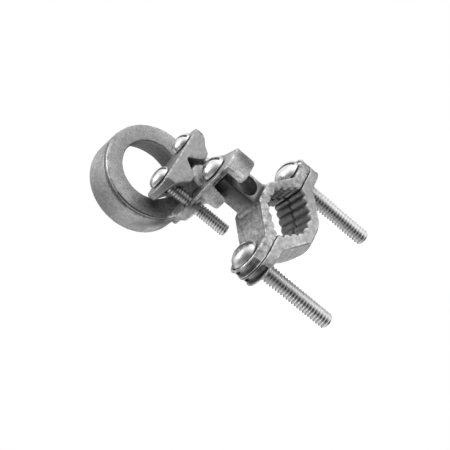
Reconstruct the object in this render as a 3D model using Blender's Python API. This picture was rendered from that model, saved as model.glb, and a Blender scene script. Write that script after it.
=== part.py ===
"""Earthing pipe clamp: two toothed jaws drawn together by two screws, and a swivelling
hub on the upper jaw's post that holds a conduit in its ring and a wire under its strap.

Frame, in metres: the pipe runs along Y through the origin, X runs from screw to screw
and +Z points at the screw heads. The origin is the middle of the pipe opening.
"""
import math

import bmesh
import bpy
from mathutils import Matrix, Vector

MM = 0.001

# Clearances
SEAT_GAP = 0.3 * MM          # between two faces that touch on the real object
THREAD_GAP = 0.3 * MM        # round a screw in its tapped hole
LOOSE_GAP = 0.45 * MM        # round a screw in a plain hole

# Jaws
LUG_REACH = 7.45 * MM        # from the edge of the opening to the screw
LUG_ROUND = 1.55 * MM        # the lug's round end is centred this far inside the screw
JAW_HALF_WIDTH = 8.8 * MM
CAVITY_HALF = 13.2 * MM
CAVITY_FLAT = 3.9 * MM
CAVITY_DEPTH = 9.0 * MM
RIM_WALL = 2.85 * MM
LOWER_RIM_EXTRA = 1.2 * MM   # the lower jaw's slopes are this much thicker
OUTER_FLAT = 3.9 * MM
LUG_THICK = 3.9 * MM
LUG_LIP = 1.0 * MM
VALLEYS = (0.0, 3.7 * MM, 7.1 * MM, 10.45 * MM, 13.5 * MM)   # between teeth, along the wall
TOOTH_DEPTH = 1.4 * MM
TOOTH_SLANT = 0.6 * MM       # along the slope, from the middle to the far rim
TOOTH_END = 0.9 * MM         # the teeth rise over this length behind each face
TOOTH_SEAM_Y = -0.5 * MM     # a shallow break half way along the teeth
CAVITY_DRAFT = 0.3 * MM
CROWN = 2.6 * MM             # how far the lower jaw's belly stands below its rims
RIM_LIP = 1.3 * MM           # width of the raised rim along Y
WEB_SINK = 0.7 * MM          # how far the web lies below the rim
GROOVE_DEPTH = 2.4 * MM
GROOVE_REACH = 7.0 * MM

# Post on the upper jaw
POST_HALF_X = 5.0 * MM
POST_NEAR = 5.2 * MM
POST_FAR = 4.6 * MM
POST_FLARE = 0.5 * MM
WIRE_HOLE_RADIUS = 3.7 * MM
WIRE_HOLE_Z = 16.7 * MM

# Jaw screws, 1/4-20 UNC by 1-1/2 in
JAW_SCREW_RADIUS = 3.175 * MM
JAW_SCREW_LENGTH = 38.1 * MM
JAW_HEAD_RADIUS = 5.7 * MM
JAW_HEAD_HEIGHT = 4.0 * MM
JAW_SLOT_WIDTH = 1.6 * MM
JAW_SLOT_DEPTH = 2.3 * MM

# Hub
PLATE_TOP = 28.4 * MM
PLATE_THICK = 2.4 * MM
PLATE_EDGE = 1.2 * MM
TONGUE_END_Y = -11.3 * MM
TONGUE_END_HALF = 5.0 * MM
TONGUE_MID_HALF = 8.6 * MM
NECK_HALF = 13.8 * MM
RING_ROOT_HALF = 9.5 * MM    # half width of the neck where it meets the ring
NECK_START_Y = 8.0 * MM
NECK_BOTTOM = 24.2 * MM
LIP_THICK = 2.6 * MM
LIP_BOTTOM = 20.0 * MM
SKIRT_OUTER = 9.7 * MM
SKIRT_BOTTOM = 19.5 * MM
SWIVEL_RADIUS = 7.5 * MM     # room for the post to turn in
SEAT_HALF = 3.4 * MM

# Ring
RING_Z = 42.9 * MM
BORE_Z = 43.7 * MM           # the bore lies a little above the ring's own middle
RING_FRONT = 22.0 * MM
RING_REAR = 36.5 * MM
RING_RADIUS = 18.9 * MM
RING_FACE_RADIUS = 18.6 * MM
RING_BORE = 11.5 * MM
RING_MOUTH = 16.0 * MM

# Strap and its screws, #10-24 UNC by 1-1/8 in
STRAP_TOP = 40.7 * MM
STRAP_END_THICK = 2.2 * MM
NOTCH_BELOW = 2.5 * MM       # from the strap's top to the top of its notch
LOBE_BELOW = 8.1 * MM        # from the strap's top to the bottom of its lobes
LOBE_INNER = 4.8 * MM
LOBE_OUTER = 6.9 * MM
WIRE_ROOM = 3.6 * MM         # between the notch and the seat
CHEEK_RISE = 0.4 * MM
CHEEK_THICK = 1.6 * MM
CHEEK_HALF = 13.2 * MM
STRAP_NEAR = 4.0 * MM
STRAP_FAR = 18.0 * MM
STRAP_END_RADIUS = 7.6 * MM
STRAP_SCREW_X = 9.2 * MM
STRAP_SCREW_Y = 11.2 * MM
STRAP_SCREW_RADIUS = 2.413 * MM
STRAP_SCREW_LENGTH = 30.0 * MM
STRAP_HEAD_RADIUS = 4.55 * MM
STRAP_HEAD_HEIGHT = 2.9 * MM
STRAP_SLOT_WIDTH = 1.3 * MM
STRAP_SLOT_DEPTH = 1.9 * MM

# Hub screw, 1/4-20 UNC
HUB_SCREW_RADIUS = 3.175 * MM
HUB_SCREW_LENGTH = 9.0 * MM
HUB_HEAD_RADIUS = 5.3 * MM
HUB_HEAD_HEIGHT = 3.9 * MM

# Worked out from the sizes above
SCREW_X = CAVITY_HALF + LUG_REACH
STRAP_Y = STRAP_SCREW_Y
STRAP_WIDE = STRAP_SCREW_X + STRAP_END_RADIUS + 0.8 * MM
SEAT_TOP = STRAP_TOP - NOTCH_BELOW - WIRE_ROOM
PARTING = SEAT_GAP / 2
OUTER_TOP = CAVITY_DEPTH + RIM_WALL
OUTER_FOOT = CAVITY_HALF
JAW_END_CENTRE = SCREW_X - LUG_ROUND
PLATE_BOTTOM = PLATE_TOP - PLATE_THICK
POST_TOP = PLATE_BOTTOM - SEAT_GAP


def material(name, colour, metallic, roughness):
    """A plain Principled material."""
    made = bpy.data.materials.new(name)
    made.use_nodes = True
    shader = made.node_tree.nodes["Principled BSDF"]
    shader.inputs["Base Color"].default_value = (*colour, 1.0)
    shader.inputs["Metallic"].default_value = metallic
    shader.inputs["Roughness"].default_value = roughness
    return made


def solid(name, bm):
    """Link a closed mesh as a named object."""
    bmesh.ops.remove_doubles(bm, verts=bm.verts, dist=0.5e-6)
    bmesh.ops.recalc_face_normals(bm, faces=bm.faces)
    mesh = bpy.data.meshes.new(name)
    bm.to_mesh(mesh)
    bm.free()
    made = bpy.data.objects.new(name, mesh)
    bpy.context.scene.collection.objects.link(made)
    return made


def rounded(points, steps=4):
    """Replace each (x, y, radius) corner by an arc and return plain 2-D points."""
    out = []
    count = len(points)
    for i, (x, y, radius) in enumerate(points):
        here = Vector((x, y))
        if radius <= 0:
            out.append(here)
            continue
        before = Vector(points[i - 1][:2]) - here
        after = Vector(points[(i + 1) % count][:2]) - here
        angle = before.angle(after)
        reach = radius / math.tan(angle / 2)
        reach = min(reach, before.length * 0.48, after.length * 0.48)
        start = here + before.normalized() * reach
        end = here + after.normalized() * reach
        for k in range(steps + 1):
            t = k / steps
            a = start.lerp(here, t)
            b = here.lerp(end, t)
            out.append(a.lerp(b, t))
    return out


def place(point, level, axis):
    """A 2-D outline point at a level along the axis it is extruded on."""
    u, v = point
    if axis == "Y":
        return Vector((u, level, v))
    if axis == "X":
        return Vector((level, u, v))
    return Vector((u, v, level))


def prism(name, outline, low, high, axis, edge=0.0):
    """Extrude a 2-D outline from low to high, its two end edges drawn in by edge."""
    bm = bmesh.new()
    levels = [(low, edge), (low + edge, 0.0), (high - edge, 0.0), (high, edge)]
    if edge == 0.0:
        levels = [(low, 0.0), (high, 0.0)]
    count = len(outline)
    area = sum(outline[i - 1][0] * outline[i][1] - outline[i][0] * outline[i - 1][1]
               for i in range(count))
    turn = 1.0 if area > 0 else -1.0
    rings = []
    for level, inset in levels:
        ring = []
        for i in range(count):
            here = Vector(outline[i])
            if inset:
                a = (here - Vector(outline[i - 1])).normalized()
                b = (Vector(outline[(i + 1) % count]) - here).normalized()
                na = Vector((-a.y, a.x)) * turn
                nb = Vector((-b.y, b.x)) * turn
                mid = (na + nb).normalized()
                here = here + mid * inset / max(0.45, mid.dot(na))
            ring.append(bm.verts.new(place(here, level, axis)))
        rings.append(ring)
    for lower, upper in zip(rings, rings[1:]):
        for i in range(count):
            j = (i + 1) % count
            bm.faces.new((lower[i], lower[j], upper[j], upper[i]))
    bm.faces.new(rings[0])
    bm.faces.new(rings[-1])
    return solid(name, bm)


def turned(name, profile, centre, axis, steps=48):
    """Revolve an open (radius, height) profile that starts and ends on the axis."""
    bm = bmesh.new()
    rings = []
    for radius, height in profile:
        ring = []
        for k in range(1 if radius == 0 else steps):
            angle = 2 * math.pi * (k + 0.37) / steps
            u = radius * math.cos(angle)
            v = radius * math.sin(angle)
            spot = Vector((u, v, height)) if axis == "Z" else Vector((u, height, v))
            ring.append(bm.verts.new(spot + Vector(centre)))
        rings.append(ring)
    for lower, upper in zip(rings, rings[1:]):
        for k in range(steps):
            j = (k + 1) % steps
            corners = [lower[k % len(lower)], lower[j % len(lower)],
                       upper[j % len(upper)], upper[k % len(upper)]]
            seen = []
            for corner in corners:
                if corner not in seen:
                    seen.append(corner)
            if len(seen) > 2:
                bm.faces.new(seen)
    return solid(name, bm)


def combine(target, tool, operation):
    """Join the tool to the target, or cut it away, and drop the tool."""
    modifier = target.modifiers.new(operation, "BOOLEAN")
    modifier.object = tool
    modifier.operation = operation
    modifier.solver = "EXACT"
    graph = bpy.context.evaluated_depsgraph_get()
    mesh = bpy.data.meshes.new_from_object(target.evaluated_get(graph))
    target.modifiers.clear()
    old = target.data
    target.data = mesh
    bpy.data.meshes.remove(old)
    spent = tool.data
    bpy.data.objects.remove(tool)
    bpy.data.meshes.remove(spent)


def rod(name, radius, low, high, centre, axis, steps=48):
    """A plain cylinder."""
    return turned(name, [(0, low), (radius, low), (radius, high), (0, high)],
                  centre, axis, steps)


def screw(name, radius, length, head_radius, head_height, slot, centre, turn):
    """A slotted round head screw that points down -Z from the seat of its head."""
    chamfer = 0.7 * MM
    under = 0.35 * MM
    profile = [(0, -length), (radius - chamfer, -length), (radius, -length + chamfer),
               (radius, 0), (head_radius - under, 0), (head_radius, under)]
    rise = head_height - under
    for k in range(1, 7):
        angle = math.pi / 2 * k / 7
        profile.append((head_radius * math.cos(angle) ** 0.85, under + rise * math.sin(angle)))
    profile.append((0, head_height))
    made = turned(name, profile, centre, "Z", 32)
    width, depth = slot
    half = head_radius + 1 * MM
    blade = prism("slot", [(-half, -width / 2), (half, -width / 2), (half, width / 2),
                           (-half, width / 2)],
                  centre[2] + head_height - depth, centre[2] + head_height + 1 * MM, "Z")
    blade.data.transform(Matrix.Translation((centre[0], centre[1], 0))
                         @ Matrix.Rotation(turn, 4, "Z"))
    combine(made, blade, "DIFFERENCE")
    return made


def finish(made, look, smooth_deg=35.0):
    """Give the material, and shade smooth up to an edge angle."""
    made.data.materials.clear()
    made.data.materials.append(look)
    for face in made.data.polygons:
        face.use_smooth = True
    bm = bmesh.new()
    bm.from_mesh(made.data)
    limit = math.radians(smooth_deg)
    for line in bm.edges:
        line.smooth = len(line.link_faces) == 2 and line.calc_face_angle(0.0) < limit
    bm.to_mesh(made.data)
    bm.free()


def hang(made, spot):
    """Put the object's origin at a point on its joint axis."""
    made.data.transform(Matrix.Translation(-Vector(spot)))
    made.location = spot


def on_path(path, way):
    """The point and the inward normal at a length along a 2-D path."""
    for a, b in zip(path, path[1:]):
        step = Vector(b) - Vector(a)
        if way <= step.length or b == path[-1]:
            unit = step.normalized()
            return Vector(a) + unit * way, Vector((unit.y, -unit.x))
        way -= step.length


def toothed(path, depth, shift):
    """Points along a path with round-topped teeth on its right, the same both ways."""
    total = sum((Vector(b) - Vector(a)).length for a, b in zip(path, path[1:]))
    bump = [(0.0, 0.0), (0.13, 0.6), (0.36, 0.97), (0.64, 0.97), (0.87, 0.6)]
    inner = total / 2 - 0.15 * MM
    stops = [min(v + (shift if v else 0.0), inner - 0.5 * MM) for v in VALLEYS] + [inner]
    half = []
    for low, high in zip(stops, stops[1:]):
        half += [(low + (high - low) * t, rise) for t, rise in bump]
    half.append((inner, 0.0))
    ways = [(-way, rise) for way, rise in reversed(half[1:])] + half
    points = [Vector(path[0])]
    for way, rise in ways:
        spot, normal = on_path(path, total / 2 + way)
        points.append(spot + normal * depth * rise)
    points.append(Vector(path[-1]))
    return points


def jaw_section(y, upper):
    """Closed (x, z) outline of a jaw at a distance y along the pipe, parting at z = 0."""
    far = abs(y)
    rim = far > JAW_HALF_WIDTH - RIM_LIP and not (upper and y > 0)
    end = JAW_END_CENTRE + math.sqrt(max(0.0, JAW_HALF_WIDTH ** 2 - y ** 2))
    groove = 0.0 if far > GROOVE_REACH else GROOVE_DEPTH
    sink = 0.0 if rim or not upper else WEB_SINK
    extra = 0.0 if upper else LOWER_RIM_EXTRA
    crown = 0.0 if rim or upper else CROWN * (1 - (far / JAW_HALF_WIDTH) ** 2)
    lug = LUG_THICK
    seat = lug - sink
    foot = OUTER_FOOT + extra
    flat = OUTER_FLAT + extra * 0.5
    top = OUTER_TOP + extra * 0.35 - sink + crown
    half = [(end, 0.0), (end, 0.35 * MM), (end - groove, 0.6 * MM),
            (end - groove, lug - 1.0 * MM), (end, lug - 0.7 * MM), (end, lug - 0.25 * MM),
            (end - 0.25 * MM, lug), (end - LUG_LIP, lug), (end - LUG_LIP - 0.2 * MM, seat),
            (foot + 1.4 * MM, seat), (foot + 0.3 * MM, seat + 0.35 * MM)]
    slope_x = foot - 0.6 * MM
    slope_z = seat + 1.2 * MM + crown * 0.35
    crest_x = flat + 0.9 * MM
    crest_z = top - 0.8 * MM
    for k in range(5):
        t = k / 4
        bulge = crown * 0.3 * math.sin(math.pi * t)
        half.append((slope_x + (crest_x - slope_x) * t + bulge,
                     slope_z + (crest_z - slope_z) * t + bulge))
    half += [(flat + 0.1 * MM, top - 0.2 * MM), (flat - 0.9 * MM, top), (0.0, top + crown * 0.12)]
    outer = half + [(-x, z) for x, z in reversed(half[:-1])]
    draft = CAVITY_DRAFT * (1 - far / JAW_HALF_WIDTH)
    wide = CAVITY_HALF - draft
    level = CAVITY_FLAT - draft * 0.4
    deep = CAVITY_DEPTH - draft
    path = [(-wide, 0.0), (-level, deep), (level, deep), (wide, 0.0)]
    rise = min(1.0, (JAW_HALF_WIDTH - far) / TOOTH_END)
    depth = TOOTH_DEPTH * (0.35 + 0.65 * math.sqrt(rise))
    if abs(y - TOOTH_SEAM_Y) < 0.1 * MM:
        depth *= 0.45
    inner = toothed(path, depth, max(y, 0.0) / JAW_HALF_WIDTH * TOOTH_SLANT)
    return outer + [(p.x, max(p.y, 0.0)) for p in inner]


def loft(name, sections, axis):
    """Join closed outlines with the same number of points along an axis."""
    bm = bmesh.new()
    rings = []
    for level, outline in sections:
        rings.append([bm.verts.new(place(point, level, axis)) for point in outline])
    count = len(rings[0])
    for lower, upper in zip(rings, rings[1:]):
        for i in range(count):
            j = (i + 1) % count
            bm.faces.new((lower[i], lower[j], upper[j], upper[i]))
    bm.faces.new(rings[0])
    bm.faces.new(rings[-1])
    return solid(name, bm)


def merge_flats(made):
    """Join neighbouring faces that lie in one plane, then cut them into triangles."""
    bm = bmesh.new()
    bm.from_mesh(made.data)
    bmesh.ops.dissolve_limit(bm, angle_limit=math.radians(0.5), verts=bm.verts, edges=bm.edges)
    bmesh.ops.triangulate(bm, faces=bm.faces)
    bm.to_mesh(made.data)
    bm.free()


def jaw(name, upper):
    """A toothed half hexagon with round lugs, above or below the parting plane."""
    sign = 1.0 if upper else -1.0
    w = JAW_HALF_WIDTH
    steps = [w, w - 0.12 * MM, w - 0.4 * MM, w - 0.75 * MM,
             w - RIM_LIP + 0.01 * MM, w - RIM_LIP - 0.2 * MM, GROOVE_REACH + 0.05 * MM,
             GROOVE_REACH - 0.15 * MM, 6.2 * MM, 5.0 * MM, 3.4 * MM, 1.7 * MM]
    seam = [TOOTH_SEAM_Y - 0.6 * MM, TOOTH_SEAM_Y, TOOTH_SEAM_Y + 0.6 * MM]
    ys = sorted([-v for v in steps] + seam + steps)
    sections = []
    for y in ys:
        outline = [(x, sign * (z + PARTING)) for x, z in jaw_section(y, upper)]
        sections.append((y, outline))
    made = loft(name, sections, "Y")
    merge_flats(made)
    for x in (-SCREW_X, SCREW_X):
        gap = LOOSE_GAP if upper else THREAD_GAP
        hole = rod("hole", JAW_SCREW_RADIUS + gap, -9 * MM, 9 * MM, (x, 0, 0), "Z", 32)
        combine(made, hole, "DIFFERENCE")
    return made


def hub_plan(inset):
    """Outline of the hub from above, from the tongue's end to inside the ring."""
    end = TONGUE_END_HALF - inset
    middle = TONGUE_MID_HALF - inset
    side = NECK_HALF - inset
    root = RING_ROOT_HALF - inset
    back = NECK_START_Y + 7.5 * MM
    left = [(-middle, 0.0, 0.0), (-end, TONGUE_END_Y + inset, 0.6 * MM)]
    right = [(-x, y, radius) for x, y, radius in reversed(left)]
    right += [(side, NECK_START_Y + 1 * MM, 5.0 * MM), (side, back, 5.0 * MM),
              (root, RING_FRONT + 1 * MM, 0.0), (root, RING_FRONT + 5 * MM, 0.0)]
    left = [(-x, y, radius) for x, y, radius in reversed(right[2:])] + left
    return rounded(left + right)


def hub_casting():
    """Ring, neck, wire seat, side walls, tongue and end lip as one casting."""
    plan = hub_plan(0.0)
    made = prism("hub", plan, PLATE_TOP - PLATE_EDGE, PLATE_TOP, "Z", 0.25 * MM)
    pad = [(-3.2 * MM, TONGUE_END_Y + 1.0 * MM), (3.2 * MM, TONGUE_END_Y + 1.0 * MM),
           (TONGUE_MID_HALF - 1.6 * MM, 0.0), (NECK_HALF - 2.5 * MM, 9.0 * MM),
           (-NECK_HALF + 2.5 * MM, 9.0 * MM), (-TONGUE_MID_HALF + 1.6 * MM, 0.0)]
    pad = prism("pad", pad, PLATE_BOTTOM, PLATE_TOP - PLATE_EDGE * 0.5, "Z")
    combine(made, pad, "UNION")
    wide = NECK_HALF * 1.5
    block = [(-wide, NECK_START_Y), (wide, NECK_START_Y), (wide, RING_REAR), (-wide, RING_REAR)]
    neck = prism("neck", hub_plan(0.1 * MM), NECK_BOTTOM, PLATE_TOP - 0.3 * MM, "Z", 0.4 * MM)
    combine(neck, prism("block", block, NECK_BOTTOM - 2 * MM, PLATE_TOP + 2 * MM, "Z"), "INTERSECT")
    combine(made, neck, "UNION")
    for side in (-1.0, 1.0):
        skirt = rounded([(-2.2 * MM, PLATE_TOP - 0.6 * MM, 0.0),
                         (-0.8 * MM, SKIRT_BOTTOM + 0.3 * MM, 1.6 * MM),
                         (4.6 * MM, SKIRT_BOTTOM, 1.8 * MM),
                         (5.2 * MM, NECK_BOTTOM - 0.6 * MM, 0.8 * MM),
                         (12.0 * MM, NECK_BOTTOM + 0.3 * MM, 0.0),
                         (12.0 * MM, PLATE_TOP - 0.6 * MM, 0.0)])
        inner = side * 5.5 * MM
        outer = side * SKIRT_OUTER
        wall = prism("skirt", skirt, min(inner, outer), max(inner, outer), "X", 0.25 * MM)
        taper = prism("taper", hub_plan(0.17 * MM), SKIRT_BOTTOM - 2 * MM, PLATE_TOP + 2 * MM, "Z")
        combine(wall, taper, "INTERSECT")
        combine(made, wall, "UNION")
    room = rod("room", SWIVEL_RADIUS, SKIRT_BOTTOM - 2 * MM, PLATE_BOTTOM, (0, 0, 0), "Z", 48)
    combine(made, room, "DIFFERENCE")
    lip_y = TONGUE_END_Y
    lip = rounded([(-TONGUE_END_HALF, LIP_BOTTOM, 1.6 * MM), (TONGUE_END_HALF, LIP_BOTTOM, 1.6 * MM),
                   (TONGUE_END_HALF, PLATE_TOP - 0.1 * MM, 0.6 * MM),
                   (-TONGUE_END_HALF, PLATE_TOP - 0.1 * MM, 0.6 * MM)])
    combine(made, prism("lip", lip, lip_y, lip_y + LIP_THICK, "Y", 0.3 * MM), "UNION")
    seat = rounded([(-SEAT_HALF - 1.6 * MM, PLATE_TOP - 1 * MM, 0.0),
                    (SEAT_HALF + 1.6 * MM, PLATE_TOP - 1 * MM, 0.0),
                    (SEAT_HALF, SEAT_TOP - 2.0 * MM, 1.2 * MM), (SEAT_HALF * 0.45, SEAT_TOP, 1.5 * MM),
                    (-SEAT_HALF * 0.45, SEAT_TOP, 1.5 * MM), (-SEAT_HALF, SEAT_TOP - 2.0 * MM, 1.2 * MM)])
    seat = prism("seat", seat, HUB_HEAD_RADIUS + 0.6 * MM, RING_FRONT + 1.0 * MM, "Y", 0.5 * MM)
    combine(made, seat, "UNION")
    depth = RING_REAR - RING_FRONT
    ring = [(0, 0), (RING_FACE_RADIUS - 0.35 * MM, 0.0), (RING_FACE_RADIUS, 0.35 * MM),
            (RING_FACE_RADIUS, 1.2 * MM), (RING_FACE_RADIUS - 0.5 * MM, 1.4 * MM),
            (RING_FACE_RADIUS - 0.5 * MM, 1.8 * MM), (RING_RADIUS, 2.1 * MM),
            (RING_RADIUS, depth - 0.6 * MM), (RING_RADIUS - 0.6 * MM, depth), (0, depth)]
    collar = turned("collar", ring, (0, RING_FRONT, RING_Z), "Y", 64)
    combine(made, collar, "UNION")
    bore = [(0, -3 * MM), (RING_BORE + 0.3 * MM, -3 * MM), (RING_BORE + 0.3 * MM, 0.0),
            (RING_BORE, 0.3 * MM), (RING_BORE, 3.2 * MM), (RING_BORE + 1.0 * MM, 3.6 * MM),
            (RING_MOUTH - 0.5 * MM, 5.0 * MM), (RING_MOUTH, depth - 0.3 * MM),
            (RING_MOUTH, depth + 2 * MM), (0, depth + 2 * MM)]
    bore = turned("bore", bore, (0, RING_FRONT, BORE_Z), "Y", 64)
    combine(made, bore, "DIFFERENCE")
    for side in (-1.0, 1.0):
        hole = rod("hole", STRAP_SCREW_RADIUS + THREAD_GAP, SKIRT_BOTTOM - 2 * MM, PLATE_TOP + 2 * MM,
                   (side * STRAP_SCREW_X, STRAP_Y, 0), "Z", 32)
        combine(made, hole, "DIFFERENCE")
    hole = rod("hole", HUB_SCREW_RADIUS + LOOSE_GAP, SKIRT_BOTTOM, PLATE_TOP + 2 * MM, (0, 0, 0), "Z", 32)
    combine(made, hole, "DIFFERENCE")
    return made


def strap_casting():
    """The clamping bar: a plate with round ends and a notched lower side."""
    reach = STRAP_WIDE - LOBE_OUTER
    drop = LOBE_BELOW - STRAP_END_THICK
    curve = [(1.0, 0.0), (0.8, 0.05), (0.52, 0.25), (0.23, 0.59), (0.08, 0.93), (0.0, 1.0)]
    half = [(STRAP_WIDE, STRAP_TOP)]
    half += [(LOBE_OUTER + reach * t, STRAP_TOP - STRAP_END_THICK - drop * u) for t, u in curve]
    half += [(LOBE_INNER, STRAP_TOP - LOBE_BELOW), (LOBE_INNER - 0.8 * MM, STRAP_TOP - LOBE_BELOW + 0.6 * MM),
             (0.5 * MM, STRAP_TOP - NOTCH_BELOW - 0.2 * MM), (0.0, STRAP_TOP - NOTCH_BELOW)]
    outline = half + [(-x, z) for x, z in reversed(half[:-1])]
    made = prism("strap", outline, STRAP_NEAR + 0.3 * MM, STRAP_FAR, "Y", 0.25 * MM)
    plan = []
    reach = math.acos((STRAP_Y - STRAP_NEAR) / STRAP_END_RADIUS)
    for side in (1.0, -1.0):
        for k in range(13):
            angle = -math.pi / 2 + reach + (math.pi - 2 * reach) * k / 12
            plan.append((side * (STRAP_SCREW_X + STRAP_END_RADIUS * math.cos(angle)),
                         STRAP_Y + side * STRAP_END_RADIUS * math.sin(angle)))
    shape = prism("plan", plan, STRAP_TOP - 12 * MM, STRAP_TOP + 2 * MM, "Z")
    combine(made, shape, "INTERSECT")
    rib = [(CHEEK_HALF, STRAP_TOP + CHEEK_RISE), (CHEEK_HALF - 0.7 * MM, STRAP_TOP - 1.8 * MM)]
    rib += [(x, z - 0.05 * MM) for x, z in half[3:]]
    rib = rib + [(-x, z) for x, z in reversed(rib[:-1])]
    cheek = prism("cheek", rib, STRAP_NEAR, STRAP_NEAR + CHEEK_THICK, "Y", 0.2 * MM)
    combine(made, cheek, "UNION")
    for side in (-1.0, 1.0):
        hole = rod("hole", STRAP_SCREW_RADIUS + LOOSE_GAP, STRAP_TOP - 12 * MM, STRAP_TOP + 2 * MM,
                   (side * STRAP_SCREW_X, STRAP_Y, 0), "Z", 32)
        combine(made, hole, "DIFFERENCE")
    return made


for old in list(bpy.data.objects):
    bpy.data.objects.remove(old, do_unlink=True)

casting = material("cast_zinc", (0.55, 0.56, 0.57), 0.9, 0.5)
plated = material("plated_steel", (0.75, 0.76, 0.77), 1.0, 0.25)

# Upper jaw with its post
upper_jaw = jaw("upper_jaw", True)
post_levels = []
for level, flare in ((OUTER_TOP - 2 * MM, 1.0), (OUTER_TOP - 0.35 * MM, 1.0),
                     (OUTER_TOP - 0.05 * MM, 0.45), (OUTER_TOP + 0.5 * MM, 0.12),
                     (OUTER_TOP + 1.2 * MM, 0.0), (POST_TOP - 0.3 * MM, 0.0), (POST_TOP, -0.3)):
    grow = flare * POST_FLARE
    half_x = POST_HALF_X + grow
    near = POST_NEAR + grow
    back = POST_FAR + grow * 2
    post_levels.append((level, rounded([(-half_x, -near, 0.7 * MM), (half_x, -near, 0.7 * MM),
                                        (half_x, back, 0.7 * MM), (-half_x, back, 0.7 * MM)])))
post = loft("post", post_levels, "Z")
combine(upper_jaw, post, "UNION")
wire_hole = rod("wire_hole", WIRE_HOLE_RADIUS, -9 * MM, 9 * MM, (0, 0, WIRE_HOLE_Z), "Y", 40)
combine(upper_jaw, wire_hole, "DIFFERENCE")
tapped = rod("tapped", HUB_SCREW_RADIUS + THREAD_GAP, WIRE_HOLE_Z, POST_TOP + 1 * MM, (0, 0, 0), "Z", 32)
combine(upper_jaw, tapped, "DIFFERENCE")
finish(upper_jaw, casting)

# Lower jaw
lower_jaw = jaw("lower_jaw", False)
finish(lower_jaw, casting)

# Hub and strap
hub = hub_casting()
finish(hub, casting)
strap = strap_casting()
finish(strap, casting)

# Screws
jaw_slot = (JAW_SLOT_WIDTH, JAW_SLOT_DEPTH)
strap_slot = (STRAP_SLOT_WIDTH, STRAP_SLOT_DEPTH)
jaw_seat = LUG_THICK + PARTING - WEB_SINK + SEAT_GAP
for side, x, turn in (("left", -SCREW_X, 2.05), ("right", SCREW_X, 1.9)):
    made = screw("jaw_screw_" + side, JAW_SCREW_RADIUS, JAW_SCREW_LENGTH, JAW_HEAD_RADIUS,
                 JAW_HEAD_HEIGHT, jaw_slot, (x, 0, jaw_seat), turn)
    finish(made, plated)
    hang(made, (x, 0, jaw_seat))
for side, x, turn in (("left", -STRAP_SCREW_X, 2.0), ("right", STRAP_SCREW_X, 1.7)):
    seat_z = STRAP_TOP + SEAT_GAP
    made = screw("strap_screw_" + side, STRAP_SCREW_RADIUS, STRAP_SCREW_LENGTH, STRAP_HEAD_RADIUS,
                 STRAP_HEAD_HEIGHT, strap_slot, (x, STRAP_Y, seat_z), turn)
    finish(made, plated)
    hang(made, (x, STRAP_Y, seat_z))
hub_seat = PLATE_TOP + SEAT_GAP
hub_screw = screw("hub_screw", HUB_SCREW_RADIUS, HUB_SCREW_LENGTH, HUB_HEAD_RADIUS,
                  HUB_HEAD_HEIGHT, jaw_slot, (0, 0, hub_seat), 1.83)
finish(hub_screw, plated)
hang(hub_screw, (0, 0, hub_seat))
hang(hub, (0, 0, PLATE_TOP))
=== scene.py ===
# %% [markdown]
# # Dressing an earthing pipe clamp
# A small die-cast clamp joins a bonding wire and its conduit to a water pipe. Two
# toothed jaws grip the pipe, and two long screws close them. A hub on the upper jaw
# carries a ring for the conduit and a strap for the wire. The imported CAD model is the
# frame here. The steps below add a camera, two metal finishes, castings with soft
# edges, threaded screws and a white studio.

import bmesh
import bpy
import numpy as np
from mathutils import Matrix, Vector


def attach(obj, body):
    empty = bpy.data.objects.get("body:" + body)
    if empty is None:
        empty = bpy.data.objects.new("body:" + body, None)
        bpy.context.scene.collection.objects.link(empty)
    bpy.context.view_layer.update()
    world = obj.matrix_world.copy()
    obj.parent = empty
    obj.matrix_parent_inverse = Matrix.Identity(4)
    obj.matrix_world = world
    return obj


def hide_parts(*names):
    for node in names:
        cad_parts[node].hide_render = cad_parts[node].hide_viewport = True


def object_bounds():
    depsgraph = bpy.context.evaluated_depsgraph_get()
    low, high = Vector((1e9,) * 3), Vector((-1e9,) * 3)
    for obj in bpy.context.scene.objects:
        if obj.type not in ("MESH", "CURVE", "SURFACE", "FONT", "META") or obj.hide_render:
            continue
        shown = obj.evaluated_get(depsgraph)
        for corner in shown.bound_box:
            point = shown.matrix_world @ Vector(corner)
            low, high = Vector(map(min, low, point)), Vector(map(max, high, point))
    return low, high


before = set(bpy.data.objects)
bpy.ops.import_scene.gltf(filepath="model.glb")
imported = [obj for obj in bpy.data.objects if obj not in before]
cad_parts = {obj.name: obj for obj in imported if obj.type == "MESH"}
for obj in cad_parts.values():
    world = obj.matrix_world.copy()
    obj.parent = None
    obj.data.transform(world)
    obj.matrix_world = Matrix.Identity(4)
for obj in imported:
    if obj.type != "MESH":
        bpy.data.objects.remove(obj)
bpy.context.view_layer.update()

MM = 0.001


# %% [markdown]
# ## The camera
# The photograph was taken from the front left and a little above, with the clamp rolled
# over. A camera can be fitted to a few known points of the object. The result is a
# place, a lens and three axes, which are written here as plain numbers. A camera looks
# along its own -Z, so its third axis points back, away from the clamp.

# %% Camera
CAMERA_RIGHT = (0.38829, -0.52746, -0.75565)
CAMERA_UP = (0.69764, -0.36751, 0.61501)
CAMERA_BACK = (-0.6021, -0.76598, 0.22528)
CAMERA_PLACE = (-218.792, -257.997, 91.474)  # mm
LENS = 78.733  # mm
SENSOR = 36.0  # mm
NEAREST = 0.01  # m

camera_data = bpy.data.cameras.new("camera")
camera_data.lens = LENS
camera_data.sensor_width = SENSOR
camera_data.clip_start = NEAREST
camera = bpy.data.objects.new("camera", camera_data)
axes = Matrix((CAMERA_RIGHT, CAMERA_UP, CAMERA_BACK)).transposed().to_4x4()
camera.matrix_world = Matrix.Translation(Vector(CAMERA_PLACE) * MM) @ axes
bpy.context.scene.collection.objects.link(camera)
bpy.context.scene.camera = camera
bpy.context.scene.view_settings.view_transform = "Standard"
print("camera to the middle of the jaws, mm:", round(Vector(CAMERA_PLACE).length))


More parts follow.
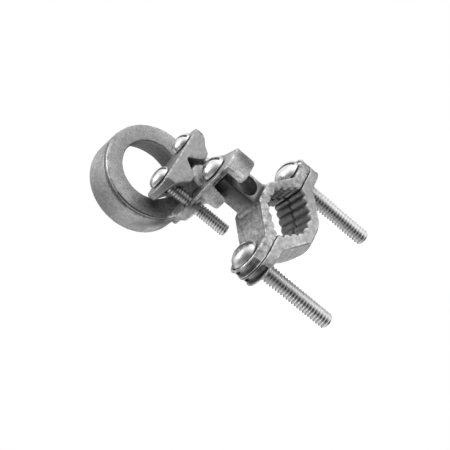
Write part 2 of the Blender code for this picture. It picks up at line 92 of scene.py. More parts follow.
# %% [markdown]
# ## Shader sums written as Python
# A material that varies over a surface needs many small nodes. A class that wraps one
# output socket lets them be written as sums, so that `1 - mask` or `grain * 0.3` adds
# the Math nodes by itself. Every other kind of node comes from one function.

# %% Shader helper
class Wire:
    """One output socket of a node tree, with arithmetic."""

    def __init__(self, tree, socket):
        self.tree = tree
        self.socket = socket

    def maths(self, operation, first, second):
        """A Math node on two values. Either may be a plain number."""
        return node(self.tree, "ShaderNodeMath", {"operation": operation}, {0: first, 1: second})

    def __add__(self, other):
        return self.maths("ADD", self, other)

    def __radd__(self, other):
        return self.maths("ADD", other, self)

    def __sub__(self, other):
        return self.maths("SUBTRACT", self, other)

    def __rsub__(self, other):
        return self.maths("SUBTRACT", other, self)

    def __mul__(self, other):
        return self.maths("MULTIPLY", self, other)

    def __rmul__(self, other):
        return self.maths("MULTIPLY", other, self)

    def __pow__(self, other):
        return self.maths("POWER", self, other)

    def held(self, low=0.0, high=1.0):
        """The value kept between two limits."""
        return self.maths("MINIMUM", self.maths("MAXIMUM", self, low), high)

    def step(self, low, high):
        """0 below low, 1 above high, and straight between them."""
        return ((self - low) * (1.0 / (high - low))).held()


def node(tree, kind, settings=None, inputs=None, output=0):
    """Add a node, set it up, fill its sockets with numbers or links, and wrap an output."""
    made = tree.nodes.new(kind)
    for name, value in (settings or {}).items():
        setattr(made, name, value)
    for name, value in (inputs or {}).items():
        socket = made.inputs[name]
        if isinstance(value, Wire):
            tree.links.new(value.socket, socket)
        else:
            socket.default_value = value
    return Wire(tree, made.outputs[output]) if made.outputs else None


print("shader helper ready")


# %% [markdown]
# ## What both metals share
# The clamp has two finishes, and both are built from the same few things: noise laid on
# the piece, a number that the mesh carries at each vertex, and a bump. Object
# coordinates are in metres, so noise of scale 620 has 620 waves in a metre, or one in
# each 1.6 mm. A seed moves the pattern, so that no two castings are mottled alike.
# Both metals are grey, so one level of grey stands for the colour.

# %% Finish helpers
def blank(name):
    """A new material with nothing in its node tree."""
    made = bpy.data.materials.new(name)
    made.use_nodes = True
    made.node_tree.nodes.clear()
    return made


def laid_on(tree, seed):
    """Object coordinates, moved by a seed."""
    place = node(tree, "ShaderNodeTexCoord", output="Object")
    shift = (seed, seed * 0.7, seed * 1.3)
    return node(tree, "ShaderNodeVectorMath", {"operation": "ADD"}, {0: place, 1: shift})


def noise(place, scale, detail, roughness):
    """Cloudy noise from 0 to 1, about 0.5 on average."""
    values = {"Vector": place, "Scale": scale, "Detail": detail, "Roughness": roughness}
    return node(place.tree, "ShaderNodeTexNoise", inputs=values)


def carried(tree, name):
    """The number that the mesh carries at each vertex under this name."""
    return node(tree, "ShaderNodeAttribute", {"attribute_name": name}, output="Fac")


def relief(height, strength, depth):
    """A bump that makes height look up to depth metres high."""
    values = {"Height": height, "Strength": strength, "Distance": depth}
    return node(height.tree, "ShaderNodeBump", inputs=values, output="Normal")


def show_metal(tree, level, rough, bump, metallic):
    """Metal of one grey level, wired to the material's output."""
    grey = node(tree, "ShaderNodeCombineColor", inputs={"Red": level, "Green": level, "Blue": level})
    values = {"Base Color": grey, "Roughness": rough, "Normal": bump, "Metallic": metallic}
    metal = node(tree, "ShaderNodeBsdfPrincipled", inputs=values)
    node(tree, "ShaderNodeOutputMaterial", inputs={"Surface": metal})


print("finish helpers ready")


# %% [markdown]
# ## Cast zinc
# The castings are grey and slightly rough, as they leave the die. Their skin is mottled
# at one or two millimetres and has small dark pits. Every edge is brighter, partly
# polished by rubbing and partly a painted highlight, and every hollow is darker with
# painted shade. Two numbers are worked out later for each vertex. `edge` is above 0
# where the metal stands out and below 0 where it is hollow. The other is above 0 where
# shade is painted and below 0 where light is painted. Ambient occlusion darkens deep
# recesses with painted shade, where little light comes in.

# %% Cast zinc finish
PATCH_SCALE, SPECKLE_SCALE, PIT_SCALE = 620.0, 1900.0, 330.0
# How strongly pits darken, how strongly painted shade darkens hollows, marks and recesses, and how
# much edges brighten from wear and a painted highlight.
PIT_DARK, HOLLOW_PAINTED_SHADE, PAINTED_SHADING_DARK, RECESS_PAINTED_SHADE = 0.45, 0.55, 0.85, 0.6
WEAR_AND_HIGHLIGHT_BRIGHT = 0.75
RECESS_REACH = 0.009  # m, how far a recess looks for the walls round it
ZINC_ROUGH = 0.47
ZINC_METALLIC = 0.85
ZINC_BUMP = 0.0001  # m


def cast_zinc(name, tone, mottle, grain, seed):
    """Grey = tone * (1 + mottling + grain), darker in pits, darker with painted shade in hollows,
    recesses and marks above 0, and brighter on edges from wear and a painted highlight and
    with painted light at marks below 0. Roughness and bump follow the same patterns."""
    made = blank(name)
    tree = made.node_tree
    place = laid_on(tree, seed)
    patches = noise(place, PATCH_SCALE, 4.0, 0.6)
    speckle = noise(place, SPECKLE_SCALE, 3.0, 0.7)
    cells = node(tree, "ShaderNodeTexVoronoi",
                 inputs={"Vector": place, "Scale": PIT_SCALE, "Randomness": 1.0})
    pit = (1.0 - cells.step(0.08, 0.26)) * patches.step(0.5, 0.62)

    edge = carried(tree, "edge")
    # Edges brighten from wear and a painted highlight, and hollows darken with painted shade.
    wear_and_highlight = edge.step(0.2, 0.95) * patches.step(0.36, 0.6)
    hollow = (0.0 - edge).step(0.1, 0.7)
    # Painted shade where the marks are above 0, and painted light where they are below 0.
    painted_shading_level = (carried(tree, "painted_shading") * (0.55 + patches * 0.9)).held(-1.0)
    # Ambient occlusion, used as painted shade in recesses.
    air = node(tree, "ShaderNodeAmbientOcclusion", {"samples": 8, "only_local": True},
               {"Distance": RECESS_REACH}, "AO")
    recess = (1.0 - air).step(0.2, 0.75)

    shade = 1.0 + (patches - 0.5) * (2.4 * mottle) + (speckle - 0.5) * (2.2 * grain)
    shade = shade * (1.0 - pit * PIT_DARK) * (1.0 - hollow * HOLLOW_PAINTED_SHADE)
    shade = shade * (1.0 + wear_and_highlight * (1.0 - painted_shading_level) * WEAR_AND_HIGHLIGHT_BRIGHT) * (1.0 - painted_shading_level * PAINTED_SHADING_DARK)
    shade = shade * (1.0 - recess * RECESS_PAINTED_SHADE)
    level = (shade * tone).held(0.01, 0.95)

    rough = (ZINC_ROUGH + (speckle - 0.5) * 0.35 - wear_and_highlight * 0.18 + hollow * 0.1).held(0.2, 0.8)
    height = speckle * 0.5 + patches * 0.5 - pit * 0.6
    show_metal(tree, level, rough, relief(height, 0.5, ZINC_BUMP), ZINC_METALLIC)
    return made


zinc = {
    "upper_jaw": cast_zinc("upper_jaw_zinc", tone=0.47, mottle=1.0, grain=0.4, seed=0.0),
    "lower_jaw": cast_zinc("lower_jaw_zinc", tone=0.48, mottle=0.6, grain=0.4, seed=3.1),
    "hub": cast_zinc("hub_zinc", tone=0.43, mottle=0.4, grain=0.9, seed=5.7),
    "strap": cast_zinc("strap_zinc", tone=0.37, mottle=0.35, grain=0.4, seed=8.3),
}
print("nodes in each zinc finish:", {piece: len(look.node_tree.nodes) for piece, look in zinc.items()})


# %% [markdown]
# ## Plated steel
# The screws are steel with a bright zinc plating. The plating is nearly smooth, so it
# mirrors the studio, and painted shade and a painted dark reflection darken it in places.
# The `groove` attribute, worked out with each screw, says how much of that a place holds.
# It is 0 on a bare crest, and it is high at the root of the thread and in the slot of
# the head, where shade is painted, and along one side of the screw and its head, where a
# dark reflection is painted.

# %% Plated steel finish
CLOUD_SCALE, FINE_SCALE = 500.0, 2600.0
GROOVE_PAINTED_SHADE = 0.6
PLATING_ROUGH = 0.27
PLATING_BUMP = 0.00003  # m


def plated_steel(name, tone, seed):
    """Grey = tone * (1 - groove) * (1 + clouds), where groove is painted shade and a painted
    dark reflection, and rougher where the groove is high.
    """
    made = blank(name)
    tree = made.node_tree
    place = laid_on(tree, seed)
    clouds = noise(place, CLOUD_SCALE, 4.0, 0.6)
    fine = noise(place, FINE_SCALE, 2.0, 0.6)
    groove = carried(tree, "groove")
    # The groove value is painted shade at the thread's root and in the slot, and a painted dark
    # reflection along one side.
    level = (tone * (1.0 - groove * GROOVE_PAINTED_SHADE) * (1.0 + (clouds - 0.5) * 0.35)).held(0.02, 0.97)
    rough = (PLATING_ROUGH + (clouds - 0.5) * 0.3 + groove * 0.2).held(0.12, 0.7)
    show_metal(tree, level, rough, relief(fine, 0.25, PLATING_BUMP), 1.0)
    return made


plating = plated_steel("screw_plating", tone=0.95, seed=1.0)
print("nodes in the plating:", len(plating.node_tree.nodes))


# %% [markdown]
# ## Small tools for meshes
# A CAD mesh comes as loose triangles, so a copy of it is merged before it is worked on.
# Numpy works on whole arrays at once, and foreach_get and foreach_set carry them from a
# mesh and back, which is much faster than a loop over its vertices. A number stored at
# each vertex is an attribute, which the piece's material can read.

# %% Mesh helpers
MERGE = 1e-6  # m, vertices closer than this are one


def merge(mesh, turn_out=False):
    """Join the vertices that lie on each other, and turn the faces outwards if asked."""
    bm = bmesh.new()
    bm.from_mesh(mesh)
    bmesh.ops.remove_doubles(bm, verts=bm.verts, dist=MERGE)
    if turn_out:
        bmesh.ops.recalc_face_normals(bm, faces=bm.faces)
    bm.to_mesh(mesh)
    bm.free()


def numbers(items, name, width, kind=float):
    """One value of every item of a mesh, as rows of this width."""
    values = np.zeros(len(items) * width, kind)
    items.foreach_get(name, values)
    return values.reshape(-1, width)


def carry(mesh, name, values):
    """Let the mesh carry a number at each vertex, for its material to read."""
    attribute = mesh.attributes.new(name, "FLOAT", "POINT")
    attribute.data.foreach_set("value", values.astype(np.float32))


print("mesh helpers ready, which merge within mm:", MERGE / MM)


# %% [markdown]
# ## Rounding, unevenness and painted shading
# A die casting has no sharp edge. Its corners are rounded by a few tenths of a
# millimetre, its hollows are filleted, and its flats are faintly uneven. On a mesh of
# small even faces, moving every vertex towards the middle of its neighbours rounds the
# corners and leaves the flats where they are. A sum of many waves in random directions
# gives the unevenness, because it repeats nowhere on the piece. Painted shade and
# painted light are a sum of soft round marks.

# %% Skin helpers
def relax(points, lines, rounds, share):
    """Move every point by a share of the way to the mean of its neighbours, several times."""
    count = np.bincount(lines.ravel(), minlength=len(points))[:, None]
    for _ in range(rounds):
        total = np.zeros_like(points)
        for axis in range(3):
            total[:, axis] = (np.bincount(lines[:, 0], points[lines[:, 1], axis], len(points))
                              + np.bincount(lines[:, 1], points[lines[:, 0], axis], len(points)))
        points = points + share * (total / count - points)
    return points


def ripple(points, rng, waves, lengths):
    """Sum of plane waves with random directions: sin(direction . point / length + phase)."""
    way = rng.normal(size=(waves, 3))
    way /= np.linalg.norm(way, axis=1)[:, None]
    size = rng.uniform(lengths[0], lengths[1], waves) * MM / (2 * np.pi)
    phase = rng.uniform(0, 2 * np.pi, waves)
    return np.sin(points @ (way / size[:, None]).T + phase).sum(1) / np.sqrt(waves)


def painted_shading_marks(points, marks):
    """Painted shade up to 1: one minus the product of 1 - strength * exp(-(distance / width)^2). A
    negative strength is a place where light is painted."""
    unshaded = np.ones(len(points))
    for x, y, z, width, strength in marks:
        far = np.linalg.norm(points / MM - (x, y, z), axis=1) / width
        unshaded *= 1 - strength * np.exp(-far ** 2)
    return 1 - unshaded


print("skin helpers ready")


# %% [markdown]
# ## A skin round a solid
# A CAD mesh has long thin triangles, which can't be rounded. A voxel Remesh wraps a copy
# of the solid in even faces of about a quarter of a millimetre. The frame's own mesh
# stays as it is. The modifier's result becomes the mesh itself, so that no modifier is
# left on the piece.

# %% Wrapping helper
def wrapped(piece, width):
    """A copy of a CAD casting, wrapped in even faces of this width in metres."""
    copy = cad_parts[piece].data.copy()
    merge(copy)
    skin = bpy.data.objects.new(piece + "_skin", copy)
    bpy.context.scene.collection.objects.link(skin)
    wrapper = skin.modifiers.new("wrap", "REMESH")
    wrapper.mode = "VOXEL"
    wrapper.voxel_size = width
    wrapper.use_smooth_shade = True
    graph = bpy.context.evaluated_depsgraph_get()
    mesh = bpy.data.meshes.new_from_object(skin.evaluated_get(graph))
    skin.modifiers.clear()
    skin.data = mesh
    return skin


print("wrapping helper ready")


# %% [markdown]
# ## One casting
# The skin is relaxed and then made faintly uneven. How far one more round of relaxing
# would pull a vertex inwards tells how sharply the metal stands out there, which gives
# the `edge` attribute almost for free.

# %% Casting helper
ROUNDS = 3  # of relaxing
EDGE_GAIN = 9.0  # brings the pull, in widths of a face, to about 1 on an edge
WAVES = 30
LONG_WAVES, LONG_RISE = (2.0, 7.0), 0.035  # mm
SHORT_WAVES, SHORT_RISE = (0.9, 2.0), 0.012  # mm


def casting(piece, body, wrap, seed, marks):
    """A wrapped and relaxed casting. edge = gain * pull inwards along the normal / width of a
    face. The swell along the normal is two ripples, which fade out towards the edges."""
    skin = wrapped(piece, wrap * MM)
    mesh = skin.data
    lines = numbers(mesh.edges, "vertices", 2, int)
    points = relax(numbers(mesh.vertices, "co", 3), lines, ROUNDS, 0.5)
    mesh.vertices.foreach_set("co", points.ravel())
    mesh.update()

    normals = numbers(mesh.vertex_normals, "vector", 3)
    pulled = relax(points, lines, 1, 1.0) - points
    edge = -(pulled * normals).sum(1) / (wrap * MM) * EDGE_GAIN
    edge = relax(edge[:, None].repeat(3, 1), lines, 2, 0.6)[:, 0]

    rng = np.random.default_rng(seed)
    swell = (ripple(points, rng, WAVES, LONG_WAVES) * LONG_RISE
             + ripple(points, rng, WAVES, SHORT_WAVES) * SHORT_RISE)
    flat = np.clip(1 - np.abs(edge), 0, 1)
    points = points + normals * (swell * flat * MM)[:, None]
    mesh.vertices.foreach_set("co", points.ravel())
    mesh.polygons.foreach_set("use_smooth", np.ones(len(mesh.polygons), bool))

    carry(mesh, "edge", edge)
    # The marks become painted shade and painted light on the casting.
    carry(mesh, "painted_shading", painted_shading_marks(points, marks))
    mesh.materials.clear()
    mesh.materials.append(zinc[piece])
    mesh.update()
    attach(skin, body)
    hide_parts(piece)
    print(piece, "faces", len(mesh.polygons), "marks", len(marks))


print("casting helper ready")


# %% [markdown]
# ## Where shade and light are painted on the jaws
# Painted shade sits on the post, in the crease at the post's foot, between the teeth
# and on the ends of the lugs, and painted light sits on a few lug ends and slopes. A
# short list of soft round marks puts them there. Each mark is the x, y and z of its
# middle and its width, all in millimetres, and then its strength, below 0 where light
# is painted. A row of small marks makes a line.

# %% Marks on the jaws
# A positive strength paints shade, and a negative one paints light.
POST_MARKS = [
    (-5, 0, 24, 4.5, 0.85), (-5, -2.5, 19.5, 3.6, 0.75), (-2, -5.2, 23, 2.4, 0.5),
    (1, 0, 16.9, 4.2, 0.9), (2.8, -5.2, 13.4, 1.8, 0.6), (-5, -1.8, 14.5, 3.4, 0.7),
]
POST_FOOT, POST_TOP = 13, 25.5
POST_CORNER = [(-5.1 + 0.09 * (z - POST_FOOT), -5.0, z, 2.1, 0.75)
               for z in np.linspace(POST_FOOT, POST_TOP, 9)]
POST_CREASE = [(x, -5.5, 11.7, 0.7, 0.8) for x in np.linspace(-4.5, 3.5, 12)]
TEETH_MARKS = [(0, 5, 0, 9, 0.75), (8, 1, 5, 5.5, 0.75), (9, 4, -3, 5, 0.5)]
UPPER_LUG_MARKS = [
    (-25.2, -3.6, 1.9, 1.6, 0.7), (-23.4, -7.7, 1.9, 2.1, -0.9), (-25.7, -6.0, 3.7, 1.2, -0.8),
]
UPPER_SLOPE_MARKS = [(-9, 2.5, 7.5, 6.5, -0.5), (9, -8.8, 5, 9, 0.3)]
UPPER_TEETH_MARKS = [(6, -5, 6.1, 3.0, 0.6), (6, -1, 5.5, 3.5, 0.5)]
LOWER_LUG_MARKS = [(-25.2, -4.3, -1.2, 2.3, 0.8), (-22.8, -8.0, -1.0, 1.9, -0.8)]
LOWER_SLOPE_MARKS = [(14, -8.8, -3, 9, 0.3), (-9, -8.8, -7, 4, -0.2)]

upper_jaw_marks = (POST_MARKS + POST_CORNER + UPPER_LUG_MARKS + TEETH_MARKS + UPPER_SLOPE_MARKS
                   + POST_CREASE + UPPER_TEETH_MARKS)
lower_jaw_marks = LOWER_LUG_MARKS + TEETH_MARKS + LOWER_SLOPE_MARKS
print("marks on the jaws:", len(upper_jaw_marks), len(lower_jaw_marks))


# %% [markdown]
# ## Where shade and light are painted on the hub and the strap
# On the hub, painted shade fills the bore of the ring and its wider mouth, the step round
# the ring's front face, the neck and the lip at the end of the tongue, and painted light
# lies on the tongue, the neck, the lip and the ring's outside. The marks in the bore and
# along the step lie on arcs about the ring's axis. The others are set one by one, and
# the strap has a single mark of painted shade at its left end.

# %% Marks on the hub and the strap
RING_HEIGHT = 42.9  # mm, middle of the ring's outside
BORE_HEIGHT = 43.7  # mm, middle of its bore


def arc(start, end, step, radius, middle, depths, width, strength):
    """Marks on arcs along the ring: (radius * cos, y, middle + radius * sin) from start to
    end in degrees, at each y in depths."""
    return [(radius * np.cos(angle), y, middle + radius * np.sin(angle), width, strength)
            for angle in np.radians(np.arange(start, end, step)) for y in depths]


# A positive strength paints shade, and a negative one paints light.
NECK_MARKS = [
    (-11.6, 22, 36.5, 2.6, 0.8), (-13.8, 25.4, 29.6, 2.8, 0.95), (-10.5, 27, 27, 3.0, 0.6),
    (-17.0, 29.0, 35.0, 3.0, 0.4), (-5.9, -7.5, 26.6, 1.5, 0.8), (-7.5, -4.5, 26.6, 1.5, 0.6),
    (-5.4, -4.2, 26.2, 1.6, 0.7), (-5.9, -8.6, 28.2, 1.4, 0.85), (-13, 7.6, 28, 1.4, 0.7),
    (-14.8, 26.5, 31.3, 3.0, 0.5),
]
LIP_MARKS = [(3.4, -11.3, 25.0, 3.0, 0.7), (2.6, -11.3, 21.8, 2.4, 0.6)]
STEP_MARKS = (arc(160, 228, 1.0, 18.6, RING_HEIGHT, (22.2,), 0.4, 0.85)
              + arc(95, 178, 1.5, 18.8, RING_HEIGHT, (24.0,), 0.5, 0.45))
BORE_MARKS = (arc(0, 360, 15, 12.5, BORE_HEIGHT, (26, 31, 35), 3.4, 0.75)
              + arc(0, 360, 15, 15.8, BORE_HEIGHT, (31, 35), 3.0, 0.35))
RING_MARKS = [(0, 24, 62, 7, 0.12), (12, 24, 56, 7, 0.12)]
# Places on the hub where light is painted.
HUB_PAINTED_LIGHT = [
    (-2.4, 5.9, 30.6, 2.2, -0.9), (-3.5, 4.1, 28.4, 2.5, -0.6), (-10.1, 20, 28.4, 3.0, -0.6),
    (-13.0, 32.5, 29.2, 3.0, -0.9), (-18.0, 30, 41, 9.0, -0.35), (-9.7, 2.4, 24, 3.5, -0.6),
    (-5, -10.5, 22.8, 2.0, -0.8), (2, -9.6, 28.4, 3.0, -0.5), (-12.3, 15.9, 28.4, 2.5, -0.6),
    (-8.5, 21, 29.6, 3.4, -0.9), (-5, 32.6, 61.1, 4.5, -0.9),
]

hub_marks = NECK_MARKS + LIP_MARKS + STEP_MARKS + BORE_MARKS + RING_MARKS + HUB_PAINTED_LIGHT
# One mark of painted shade at the strap's left end.
strap_marks = [(-12.3, 9.6, 36.9, 3.3, 0.9)]
print("marks on the hub and the strap:", len(hub_marks), len(strap_marks))


# %% [markdown]
# ## The four castings
# The two jaws, the hub and the strap are made one after another. The hub is the
# largest, so its faces are a little wider, which keeps its mesh light enough. The strap
# is the smallest and gets the finest faces. Each casting has its own seed, and so its
# own unevenness.

# %% Castings
casting("upper_jaw", "upper", wrap=0.26, seed=11, marks=upper_jaw_marks)
casting("lower_jaw", "lower", wrap=0.26, seed=12, marks=lower_jaw_marks)
casting("hub", "hub", wrap=0.28, seed=13, marks=hub_marks)
casting("strap", "strap", wrap=0.22, seed=14, marks=strap_marks)


# %% [markdown]
# ## The thread of a screw
# A thread is one strip that winds down the shank, so it can be worked out as a grid:
# columns go round the screw and rows go down the strip. The rows follow the helix, and
# so the crest and the root stay crisp however coarse the mesh is. The root gets painted
# shade, and a dark band painted down one side of the screws is a painted dark reflection.

# %% Thread helper
TURN = 2 * np.pi
TOOTH_ROWS = 6
COLUMNS = 40
OVERLAP = 0.15 * MM  # how far the thread reaches up into the head
TIP_STEP = 0.05 * MM
# The side of each screw where a dark reflection is painted, and how wide it is.
DARK_REFLECTION_SIDE = -2.29  # radians from +X
BAND_WIDTH = 0.3  # radians
TOOTH_POWER = 0.8  # below 1, so the root is wider than the crest
# Strength of the painted shade at the root of the thread, and of the painted dark reflection down one
# side.
ROOT_SHADE, BAND_DARK_REFLECTION = 0.45, 0.5


def grid_faces(rows, columns, start):
    """Quads between neighbouring rows and columns of a grid of points."""
    corner = np.arange(rows * columns).reshape(rows, columns) + start
    quads = np.stack([corner[:-1, :-1], corner[:-1, 1:], corner[1:, 1:], corner[1:, :-1]], -1)
    return quads.reshape(-1, 4)


def off_dark_reflection(angle):
    """Angle from the side where a dark reflection is painted, between half a turn less and half a turn
    more.
    """
    return np.angle(np.exp(1j * (angle - DARK_REFLECTION_SIDE)))


def thread(radius, pitch, length, share):
    """Row k and angle a: height = pitch * (a / turn - k), and reach = radius - depth *
    (0.5 - 0.5 * cos(turn * k)) ** power. Both are held between the head and the tip."""
    depth = share * pitch
    along = np.arange(TOOTH_ROWS) / TOOTH_ROWS
    tooth = (0.5 - 0.5 * np.cos(TURN * along)) ** TOOTH_POWER
    turns = int(np.ceil(length / pitch)) + 2
    row = (np.arange(turns)[:, None] + along).ravel()
    groove = np.tile(tooth, turns)[:, None]

    angle = np.linspace(0, TURN, COLUMNS + 1)
    height = pitch * (angle / TURN)[None, :] - pitch * row[:, None] + OVERLAP
    tip = radius - depth - TIP_STEP + np.maximum(height + length, 0)
    reach = np.minimum(radius - depth * groove, tip)
    height = np.clip(height, -length, OVERLAP)
    points = np.stack([reach * np.cos(angle), reach * np.sin(angle), height], -1)

    # A dark reflection painted down one side, on top of the painted shade at the root.
    band = np.exp(-(off_dark_reflection(angle) / BAND_WIDTH) ** 2)[None, :]
    groove = groove * (ROOT_SHADE + BAND_DARK_REFLECTION * band) + BAND_DARK_REFLECTION * band
    centre = np.zeros((1, COLUMNS + 1, 3))
    points = np.concatenate([centre + (0, 0, OVERLAP), points, centre + (0, 0, -length)])
    unshaded = groove[:1] * 0
    return points, np.concatenate([unshaded, groove, unshaded])


print("faces in one turn of a thread:", TOOTH_ROWS * COLUMNS)


# %% [markdown]
# ## The head of a screw
# The heads are round, with a straight slot for a screwdriver. The head is a dome that is
# cut down to the slot's floor. Its rows run along the slot, and a few of them are set
# close to the slot's walls, so that the walls are straight and steep.

# %% Head helper
RIM = 0.35 * MM  # height of the straight edge under the dome
CROWN = 2.353  # above 2, so the dome is flatter on top than a ball
HEAD_ROWS, HEAD_COLUMNS = 37, 41
WALL_ROWS = np.array([-0.06, 0, 0.03]) * MM  # outside, on and inside a wall of the slot
WALL_GAP = 0.12 * MM  # other rows stay this far from a wall
ON_WALL = 0.01 * MM
# Strength of the painted shade in the slot.
SLOT_SHADE = 0.8
# Width, start and fade of the dark reflection painted on the outer part of the head.
DARK_REFLECTION_WIDTH = 0.6  # radians
DARK_REFLECTION_START, DARK_REFLECTION_FADE = 0.5, 0.3  # shares of the radius of the head


def dome(radius, height, slot, turned, dark_reflection):
    """Top: z = rim + rise * sqrt(1 - (r / R) ** crown), cut down to the slot's floor near
    y = 0. Underside: z = 0 with a small chamfer. Rows run along the slot."""
    half = slot[0] / 2
    floor_height = height - slot[1]
    away = np.sin(np.linspace(-np.pi / 2, np.pi / 2, HEAD_ROWS)) * radius
    away = away[np.abs(np.abs(away) - half) > WALL_GAP]
    away = np.sort(np.concatenate([away, WALL_ROWS - half, half - WALL_ROWS]))
    along = np.sin(np.linspace(-np.pi / 2, np.pi / 2, HEAD_COLUMNS))
    y = np.repeat(away[:, None], len(along), 1)
    x = along[None, :] * np.sqrt(np.maximum(radius ** 2 - y ** 2, 0))
    far = np.clip(np.hypot(x, y) / radius, 0, 1)

    top = RIM + (height - RIM) * np.sqrt(np.clip(1 - far ** CROWN, 0, 1))
    inside = np.abs(y) < half - ON_WALL
    # Painted shade in the slot.
    groove = np.where(inside & (top > floor_height), SLOT_SHADE, 0.0)
    top = np.where(inside, np.minimum(top, floor_height), top)
    under = RIM * np.clip((far * radius - (radius - RIM)) / RIM, 0, 1)

    cos, sin = np.cos(turned), np.sin(turned)
    spun = (x * cos - y * sin, x * sin + y * cos)
    # A dark reflection painted on the outer part of the head, on one side.
    side = off_dark_reflection(np.arctan2(spun[1], spun[0]))
    outer = np.clip((far - DARK_REFLECTION_START) / DARK_REFLECTION_FADE, 0, 1)
    groove = np.maximum(groove, dark_reflection * np.exp(-(side / DARK_REFLECTION_WIDTH) ** 2) * outer)
    return (np.stack([*spun, top], -1), groove), (np.stack([*spun, under], -1), groove * 0)


print("rows and columns of a head, before the walls of the slot:", HEAD_ROWS, HEAD_COLUMNS)


# %% [markdown]
# ## One screw
# Head and thread become one mesh. Its grids meet at the seam of the thread, at the rim
# of the head and at the middle of each end, so doubles are merged there, and then the
# faces are turned outwards. A sharp-edge angle keeps the slot and the crest crisp in
# smooth shading.

# %% Screw helper
SHARP = 0.6  # radians


def screw(piece, body, sizes, spot, turned, dark_reflection):
    """Head and thread of one screw as one mesh, at the place of the CAD screw."""
    radius, pitch, length, share, head, rise, slot = sizes
    top, under = dome(head, rise, slot, turned, dark_reflection)
    points, faces, groove = [], [], []
    start = 0
    for grid, painted_shading in (thread(radius, pitch, length, share), top, under):
        rows, columns = grid.shape[:2]
        points.append(grid.reshape(-1, 3))
        faces.append(grid_faces(rows, columns, start))
        groove.append(painted_shading.ravel())
        start += rows * columns
    points = np.concatenate(points) + np.array(spot) * MM

    mesh = bpy.data.meshes.new(piece + "_thread")
    mesh.from_pydata(points.tolist(), [], np.concatenate(faces).tolist())
    carry(mesh, "groove", np.concatenate(groove))
    merge(mesh, turn_out=True)
    mesh.polygons.foreach_set("use_smooth", np.ones(len(mesh.polygons), bool))
    mesh.set_sharp_from_angle(angle=SHARP)
    mesh.materials.append(plating)
    mesh.update()

    made = bpy.data.objects.new(piece + "_detail", mesh)
    bpy.context.scene.collection.objects.link(made)
    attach(made, body)
    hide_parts(piece)
    print(piece, "faces", len(mesh.polygons))


print("screw helper ready")


# %% [markdown]
# ## The five screws
# Two long screws close the jaws, a short one of the same thread holds the hub, and two
# thinner ones press the strap down. Each has its own place and its own turn of the
# slot, read from the photograph, because no two screws stop at the same angle.

# %% Screws
# radius, pitch, length, depth of the thread in pitches, radius and height of the head,
# and width and depth of the slot
JAW_SCREW = (3.175 * MM, 1.27 * MM, 38.1 * MM, 0.55, 5.7 * MM, 4.0 * MM, (1.6 * MM, 2.3 * MM))
HUB_SCREW = (3.175 * MM, 1.27 * MM, 9.0 * MM, 0.55, 5.3 * MM, 3.9 * MM, (1.6 * MM, 2.3 * MM))
STRAP_SCREW = (2.413 * MM, 1.058 * MM, 30.0 * MM, 0.42, 4.55 * MM, 2.9 * MM, (1.3 * MM, 1.9 * MM))

# The last number of each screw is how strong the dark reflection painted on its head is.
screw("jaw_screw_left", "left_screw", JAW_SCREW, (-20.65, 0, 3.65), turned=2.05, dark_reflection=1.0)
screw("jaw_screw_right", "right_screw", JAW_SCREW, (20.65, 0, 3.65), turned=1.9, dark_reflection=0.0)
screw("hub_screw", "pivot", HUB_SCREW, (0, 0, 28.7), turned=1.83, dark_reflection=0.4)
screw("strap_screw_left", "strap_left", STRAP_SCREW, (-9.2, 11.2, 41.0), turned=2.0, dark_reflection=0.5)
screw("strap_screw_right", "strap_right", STRAP_SCREW, (9.2, 11.2, 41.0), turned=1.7, dark_reflection=0.4)


# %% [markdown]
# ## The floor
# The clamp was photographed on white. The floor is a white disc just under the clamp
# that keeps its shadow. It stays small, because a wide one would light the clamp evenly
# from below. Light Path tells what each ray is for. Camera rays see the floor glow
# nearly white, mirrored rays see less of that, and the rays that light the metal see
# none of it.

# %% Floor
FLOOR_RADIUS = 0.07  # m
FLOOR_GAP = 0.0005  # m
FLOOR_CORNERS = 96
FLOOR_GREY = (0.6, 0.6, 0.6, 1)
WHITE = (1, 1, 1, 1)
GLOW_SEEN, GLOW_MIRRORED = 0.85, 0.4


def ray(tree, kind):
    """1 for the rays of this kind, and 0 for all others."""
    return node(tree, "ShaderNodeLightPath", output=kind)


floor_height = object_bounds()[0].z - FLOOR_GAP
bearing = np.linspace(0, TURN, FLOOR_CORNERS, endpoint=False)
floor_points = np.column_stack([FLOOR_RADIUS * np.cos(bearing), FLOOR_RADIUS * np.sin(bearing),
                                np.full(FLOOR_CORNERS, floor_height)])
floor_mesh = bpy.data.meshes.new("floor")
floor_mesh.from_pydata(floor_points.tolist(), [], [tuple(range(FLOOR_CORNERS))])
floor = bpy.data.objects.new("floor", floor_mesh)
bpy.context.scene.collection.objects.link(floor)

floor_look = blank("floor_white")
tree = floor_look.node_tree
mirrored = ray(tree, "Is Glossy Ray") + ray(tree, "Is Transmission Ray")
seen = ray(tree, "Is Camera Ray") * GLOW_SEEN + mirrored * GLOW_MIRRORED
plain = node(tree, "ShaderNodeBsdfDiffuse", inputs={"Color": FLOOR_GREY})
glow = node(tree, "ShaderNodeEmission", inputs={"Color": WHITE, "Strength": seen})
mixed = node(tree, "ShaderNodeAddShader", inputs={0: plain, 1: glow})
node(tree, "ShaderNodeOutputMaterial", inputs={"Surface": mixed})
floor_mesh.materials.append(floor_look)
print("floor, width and height in mm:", round(2 * FLOOR_RADIUS / MM), round(floor_height / MM, 1))


# %% [markdown]
# ## The studio round the clamp
# Metal needs dark as well as light round it to read as metal. The world is therefore a
# sum of wide soft lights, each brightest in one direction, over a nearly dark room. It
# is white where the camera sees it. Mirrors see that white only faintly, and so the
# metal keeps its dark reflections.

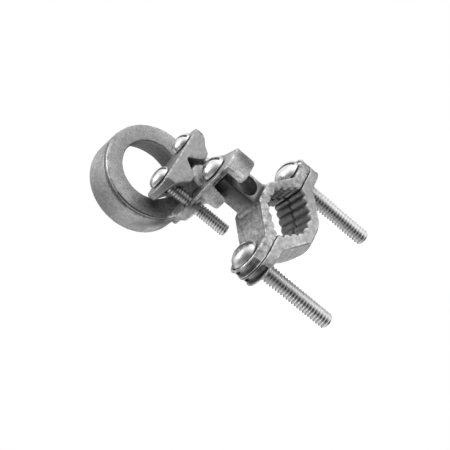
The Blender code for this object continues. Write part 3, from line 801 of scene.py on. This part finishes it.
# %% World
# direction towards the light (x, y, z), strength, and how narrow the light is
STUDIO = [
    (1, -1, 1, 0.85, 4), (0.6, -0.8, -0.1, 0.8, 4), (0.72, -0.66, -0.2, 0.7, 16),
    (0, 0, 1, 0.85, 4), (-0.15, 0.7, 0.7, 0.6, 8), (-1, -1, 1, 0.1, 4),
    (0.75, 0.55, 0.35, 0.85, 8), (-0.2, 0.77, -0.6, 0.9, 8), (1, 0, 0, 0.2, 4),
    (-1, -0.1, -0.2, 0.6, 6), (-0.6, 0.77, -0.1, 0.6, 8),
]
ROOM = 0.015  # what is left where no light shines
MIRRORED_WHITE = 0.04

world = bpy.data.worlds.new("studio")
bpy.context.scene.world = world
world.use_nodes = True
tree = world.node_tree
tree.nodes.clear()
way = node(tree, "ShaderNodeTexCoord", output="Generated")


def facing(direction):
    """Cosine between the looked-at direction and a fixed one, 0 behind it."""
    both = {0: way, 1: tuple(Vector(direction).normalized())}
    return node(tree, "ShaderNodeVectorMath", {"operation": "DOT_PRODUCT"}, both, "Value").held()


light = ROOM
for x, y, z, strength, sharpness in STUDIO:
    light = light + facing((x, y, z)) ** sharpness * strength
camera_ray = ray(tree, "Is Camera Ray")
mirrored = ray(tree, "Is Glossy Ray") + ray(tree, "Is Transmission Ray")
level = light * (1 - camera_ray) + camera_ray + mirrored * MIRRORED_WHITE
sky = node(tree, "ShaderNodeBackground", inputs={"Color": WHITE, "Strength": level})
node(tree, "ShaderNodeOutputWorld", inputs={"Surface": sky})
print("lights in the world:", len(STUDIO))


# %% [markdown]
# ## One lamp
# A world alone gives very soft shadows. One square lamp above and behind the clamp adds
# a little shape to them and a highlight along the upper edges.

# %% Lamp
LAMP_PLACE, LAMP_AIM = (-0.05, 0.1, 0.45), (0, 0.01, 0.02)  # m
LAMP_WIDTH = 0.25  # m
LAMP_POWER = 0.7  # W

lamp_data = bpy.data.lights.new("top_lamp", "AREA")
lamp_data.size = LAMP_WIDTH
lamp_data.energy = LAMP_POWER
lamp = bpy.data.objects.new("top_lamp", lamp_data)
lamp.location = LAMP_PLACE
lamp.rotation_mode = "QUATERNION"
lamp.rotation_quaternion = (Vector(LAMP_AIM) - Vector(LAMP_PLACE)).to_track_quat("-Z", "Y")
bpy.context.scene.collection.objects.link(lamp)
print("lamp, W:", LAMP_POWER)
